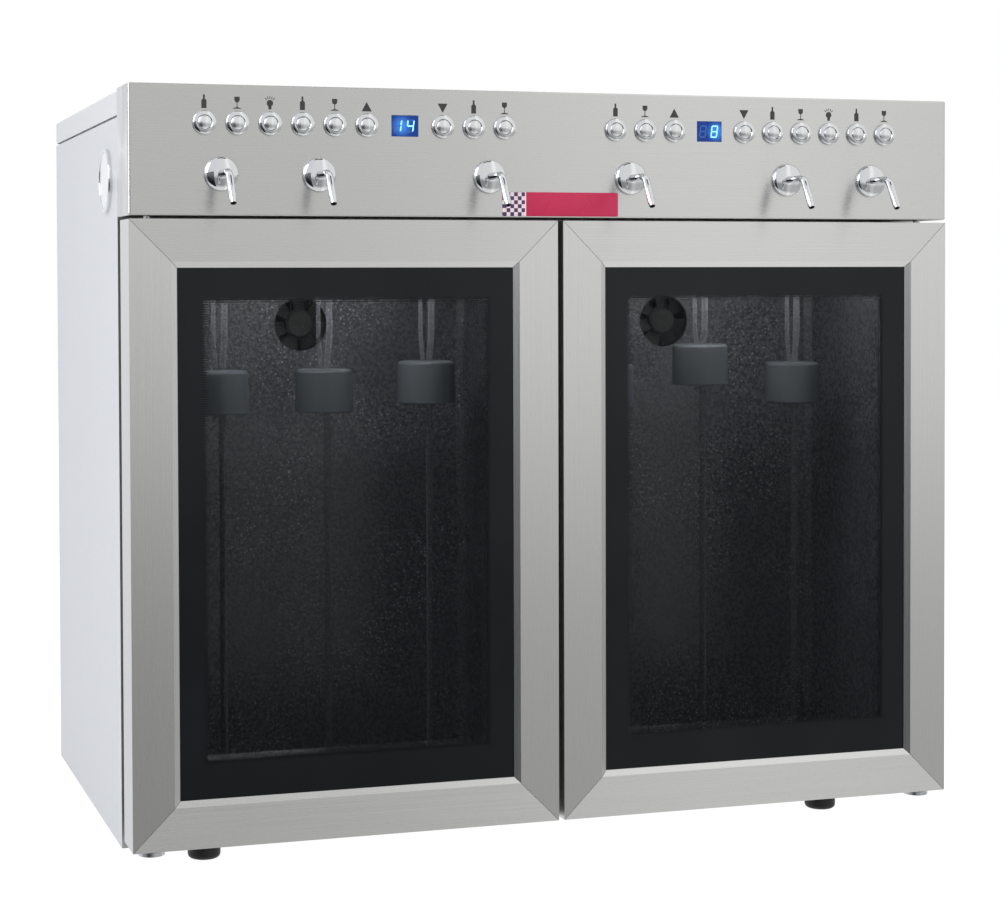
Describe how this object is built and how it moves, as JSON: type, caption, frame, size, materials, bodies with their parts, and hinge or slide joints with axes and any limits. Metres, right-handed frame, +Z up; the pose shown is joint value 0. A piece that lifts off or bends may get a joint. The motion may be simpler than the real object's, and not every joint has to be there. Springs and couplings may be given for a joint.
{
  "type": "wine preservation dispenser",
  "caption": "Countertop wine dispenser with two cooled glass-door bays, bottle stoppers on pick-up tubes, a row of taps and a push-button fascia with displays.",
  "frame": {"origin": "on the surface that the feet rest on, under the middle of the whole object", "axes": "+X to the right as seen from the front, +Y from the doors to the back, +Z up"},
  "size_m": [0.7536, 0.4942, 0.652],
  "materials": {
    "brushed_stainless": "horizontal fine brushing",
    "grey_painted_steel": "satin light grey coat",
    "zinc_steel": "galvanised sheet",
    "chrome": "polished",
    "clear_glass": "tinted double glazing with a black printed border",
    "black_plastic": "hammered black",
    "foam": "rigid foam",
    "black_rubber": "matte",
    "aluminium": "mill",
    "circuit_board": "solder mask",
    "blue_window": "glossy tinted window",
    "white_plastic": "moulded",
    "plate": "blank red plate",
    "brushed_door_bar": "extruded bars brushed along their length, to match the fascia",
    "sheet_case": "plain sheet"
  },
  "bodies": {
    "root": {"base_pan": "zinc_steel", "bay_lamps": "white_plastic", "bay_liners": "black_plastic", "button_bezels": "chrome", "ceiling_grommets": "black_rubber", "control_board": "circuit_board", "control_panel": "brushed_stainless", "cooling_blocks": "aluminium", "display_windows": "blue_window", "fan_housings": "black_plastic", "feet": "black_rubber", "front_frame": "brushed_stainless", "gas_manifold": "aluminium", "hinge_brackets": "zinc_steel", "insulation": "foam", "name_plate": "plate", "port_cap": "chrome", "power_supply": "sheet_case", "rear_inlets": "black_plastic", "rear_panel": "zinc_steel", "side_panel_left": "grey_painted_steel", "side_panel_right": "grey_painted_steel", "tap_flanges": "chrome", "tap_spouts": "chrome", "tap_valves": "white_plastic", "top_cover": "grey_painted_steel"},
    "door_left": {"door_frame_left": "brushed_door_bar", "door_glass_left": "clear_glass", "glazing_spacer_left": "aluminium", "door_gasket_left": "black_rubber"},
    "door_right": {"door_frame_right": "brushed_door_bar", "door_glass_right": "clear_glass", "glazing_spacer_right": "aluminium", "door_gasket_right": "black_rubber"},
    "fan_left": {"fan_rotor_left": "black_plastic"},
    "fan_right": {"fan_rotor_right": "black_plastic"},
    "push_button_01": {"button_01": "chrome"},
    "push_button_02": {"button_02": "chrome"},
    "push_button_03": {"button_03": "chrome"},
    "push_button_04": {"button_04": "chrome"},
    "push_button_05": {"button_05": "chrome"},
    "push_button_06": {"button_06": "chrome"},
    "push_button_07": {"button_07": "chrome"},
    "push_button_08": {"button_08": "chrome"},
    "push_button_09": {"button_09": "chrome"},
    "push_button_10": {"button_10": "chrome"},
    "push_button_11": {"button_11": "chrome"},
    "push_button_12": {"button_12": "chrome"},
    "push_button_13": {"button_13": "chrome"},
    "push_button_14": {"button_14": "chrome"},
    "push_button_15": {"button_15": "chrome"},
    "push_button_16": {"button_16": "chrome"},
    "push_button_17": {"button_17": "chrome"},
    "push_button_18": {"button_18": "chrome"},
    "bottle_stopper_1": {"stopper_1": "black_rubber"},
    "bottle_stopper_2": {"stopper_2": "black_rubber"},
    "bottle_stopper_3": {"stopper_3": "black_rubber"},
    "bottle_stopper_4": {"stopper_4": "black_rubber"},
    "bottle_stopper_5": {"stopper_5": "black_rubber"},
    "bottle_stopper_6": {"stopper_6": "black_rubber"}
  },
  "joints": [
    {"name": "door_left_hinge", "type": "hinge", "parent": "root", "child": "door_left", "pos_m": [-0.3542, -0.17795, 0.28175], "axis": [0, 0, -1], "range_deg": [0, 110]},
    {"name": "door_right_hinge", "type": "hinge", "parent": "root", "child": "door_right", "pos_m": [0.3578, -0.17795, 0.28175], "axis": [0, 0, 1], "range_deg": [0, 110]},
    {"name": "fan_left_spin", "type": "hinge", "parent": "root", "child": "fan_left", "pos_m": [-0.1802, 0.00805, 0.451], "axis": [0, 1, 0], "continuous": true},
    {"name": "fan_right_spin", "type": "hinge", "parent": "root", "child": "fan_right", "pos_m": [0.1838, 0.00805, 0.451], "axis": [0, 1, 0], "continuous": true},
    {"name": "push_button_01_press", "type": "slide", "parent": "root", "child": "push_button_01", "axis": [0, 1, 0], "range_m": [0, 0.0015], "stiffness_N_per_m": 800, "springref_m": -0.0005},
    {"name": "push_button_02_press", "type": "slide", "parent": "root", "child": "push_button_02", "axis": [0, 1, 0], "range_m": [0, 0.0015], "stiffness_N_per_m": 800, "springref_m": -0.0005},
    {"name": "push_button_03_press", "type": "slide", "parent": "root", "child": "push_button_03", "axis": [0, 1, 0], "range_m": [0, 0.0015], "stiffness_N_per_m": 800, "springref_m": -0.0005},
    {"name": "push_button_04_press", "type": "slide", "parent": "root", "child": "push_button_04", "axis": [0, 1, 0], "range_m": [0, 0.0015], "stiffness_N_per_m": 800, "springref_m": -0.0005},
    {"name": "push_button_05_press", "type": "slide", "parent": "root", "child": "push_button_05", "axis": [0, 1, 0], "range_m": [0, 0.0015], "stiffness_N_per_m": 800, "springref_m": -0.0005},
    {"name": "push_button_06_press", "type": "slide", "parent": "root", "child": "push_button_06", "axis": [0, 1, 0], "range_m": [0, 0.0015], "stiffness_N_per_m": 800, "springref_m": -0.0005},
    {"name": "push_button_07_press", "type": "slide", "parent": "root", "child": "push_button_07", "axis": [0, 1, 0], "range_m": [0, 0.0015], "stiffness_N_per_m": 800, "springref_m": -0.0005},
    {"name": "push_button_08_press", "type": "slide", "parent": "root", "child": "push_button_08", "axis": [0, 1, 0], "range_m": [0, 0.0015], "stiffness_N_per_m": 800, "springref_m": -0.0005},
    {"name": "push_button_09_press", "type": "slide", "parent": "root", "child": "push_button_09", "axis": [0, 1, 0], "range_m": [0, 0.0015], "stiffness_N_per_m": 800, "springref_m": -0.0005},
    {"name": "push_button_10_press", "type": "slide", "parent": "root", "child": "push_button_10", "axis": [0, 1, 0], "range_m": [0, 0.0015], "stiffness_N_per_m": 800, "springref_m": -0.0005},
    {"name": "push_button_11_press", "type": "slide", "parent": "root", "child": "push_button_11", "axis": [0, 1, 0], "range_m": [0, 0.0015], "stiffness_N_per_m": 800, "springref_m": -0.0005},
    {"name": "push_button_12_press", "type": "slide", "parent": "root", "child": "push_button_12", "axis": [0, 1, 0], "range_m": [0, 0.0015], "stiffness_N_per_m": 800, "springref_m": -0.0005},
    {"name": "push_button_13_press", "type": "slide", "parent": "root", "child": "push_button_13", "axis": [0, 1, 0], "range_m": [0, 0.0015], "stiffness_N_per_m": 800, "springref_m": -0.0005},
    {"name": "push_button_14_press", "type": "slide", "parent": "root", "child": "push_button_14", "axis": [0, 1, 0], "range_m": [0, 0.0015], "stiffness_N_per_m": 800, "springref_m": -0.0005},
    {"name": "push_button_15_press", "type": "slide", "parent": "root", "child": "push_button_15", "axis": [0, 1, 0], "range_m": [0, 0.0015], "stiffness_N_per_m": 800, "springref_m": -0.0005},
    {"name": "push_button_16_press", "type": "slide", "parent": "root", "child": "push_button_16", "axis": [0, 1, 0], "range_m": [0, 0.0015], "stiffness_N_per_m": 800, "springref_m": -0.0005},
    {"name": "push_button_17_press", "type": "slide", "parent": "root", "child": "push_button_17", "axis": [0, 1, 0], "range_m": [0, 0.0015], "stiffness_N_per_m": 800, "springref_m": -0.0005},
    {"name": "push_button_18_press", "type": "slide", "parent": "root", "child": "push_button_18", "axis": [0, 1, 0], "range_m": [0, 0.0015], "stiffness_N_per_m": 800, "springref_m": -0.0005},
    {"name": "bottle_stopper_1_lift", "type": "slide", "parent": "root", "child": "bottle_stopper_1", "axis": [0, 0, 1], "range_m": [0, 0.07]},
    {"name": "bottle_stopper_2_lift", "type": "slide", "parent": "root", "child": "bottle_stopper_2", "axis": [0, 0, 1], "range_m": [0, 0.07]},
    {"name": "bottle_stopper_3_lift", "type": "slide", "parent": "root", "child": "bottle_stopper_3", "axis": [0, 0, 1], "range_m": [0, 0.07]},
    {"name": "bottle_stopper_4_lift", "type": "slide", "parent": "root", "child": "bottle_stopper_4", "axis": [0, 0, 1], "range_m": [0, 0.07]},
    {"name": "bottle_stopper_5_lift", "type": "slide", "parent": "root", "child": "bottle_stopper_5", "axis": [0, 0, 1], "range_m": [0, 0.07]},
    {"name": "bottle_stopper_6_lift", "type": "slide", "parent": "root", "child": "bottle_stopper_6", "axis": [0, 0, 1], "range_m": [0, 0.07]}
  ]
}
